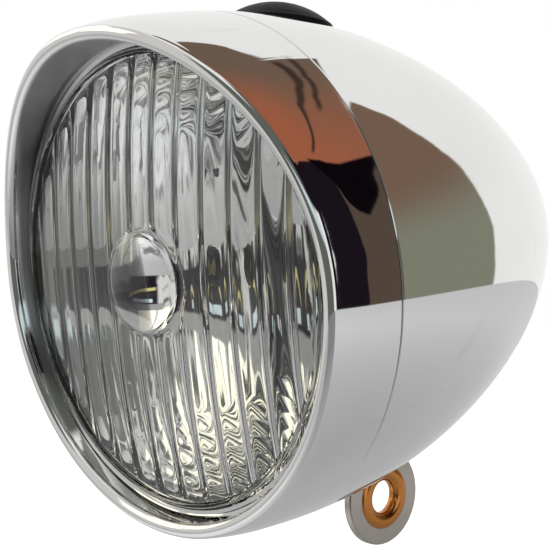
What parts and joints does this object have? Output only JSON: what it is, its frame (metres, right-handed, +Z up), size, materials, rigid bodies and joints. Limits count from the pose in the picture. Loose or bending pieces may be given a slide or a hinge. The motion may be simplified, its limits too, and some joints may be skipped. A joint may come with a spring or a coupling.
{
  "type": "bicycle headlight",
  "caption": "Bullet-shaped chromed cycle headlight: peaked bezel, fluted lens with a round centre lens, reflector, cell tray, top push button and a bushed mounting tab.",
  "frame": {"origin": "centre of the bolt hole in the mounting tab", "axes": "+X along the bolt hole and across the lamp, front of the lamp towards -Y, +Z up; the beam axis runs along Y, 42.3 mm above the bolt hole"},
  "size_m": [0.076, 0.0873, 0.0897],
  "materials": {
    "polished_chrome": "mirror polished chrome plating",
    "plated_steel": "bright plated steel",
    "copper": "copper coloured, polished",
    "screw_steel": "zinc plated",
    "black_plastic": "moulded, matte",
    "cell_jacket": "plain printed jacket, satin",
    "contact_metal": "nickel plated spring steel",
    "contact_brass": "gold flashed brass",
    "circuit_board": "green solder mask",
    "white_plastic": "white, satin",
    "button_rubber": "matte black rubber",
    "seal_rubber": "black rubber",
    "clear_lens": "clear moulded, glossy",
    "mirror_coat": "vacuum metallised",
    "yellow_phosphor": "yellow phosphor",
    "clear_dome": "clear silicone"
  },
  "bodies": {
    "housing": {"rear_shell": "polished_chrome", "mount_tab": "plated_steel", "tab_bush": "copper", "tab_screws": "screw_steel", "lock_screw": "screw_steel", "lock_nut": "screw_steel", "battery_tray": "black_plastic", "tray_screws": "screw_steel", "cell_top": "cell_jacket", "cell_middle": "cell_jacket", "cell_bottom": "cell_jacket", "contact_plates": "contact_metal", "contact_springs": "contact_metal", "contact_pins": "contact_brass", "switch_board": "circuit_board", "switch_screws": "screw_steel", "switch_body": "black_plastic"},
    "front": {"bezel": "polished_chrome", "seal_ring": "seal_rubber", "lens": "clear_lens", "lens_gasket": "seal_rubber", "reflector": "mirror_coat", "retaining_ring": "black_plastic", "led_board": "circuit_board", "board_screws": "screw_steel", "contact_pads": "contact_brass", "driver_parts": "black_plastic", "led_collar": "black_plastic", "led_package": "white_plastic", "led_phosphor": "yellow_phosphor", "led_dome": "clear_dome"},
    "button": {"switch_plunger": "white_plastic", "button_cap": "button_rubber"}
  },
  "joints": [
    {"name": "front_pull", "type": "slide", "parent": "housing", "child": "front", "axis": [0, -1, 0], "range_m": [0, 0.045]},
    {"name": "button_press", "type": "slide", "parent": "housing", "child": "button", "axis": [0, -0.1756, -0.9845], "range_m": [0, 0.0012], "stiffness_N_per_m": 800}
  ]
}
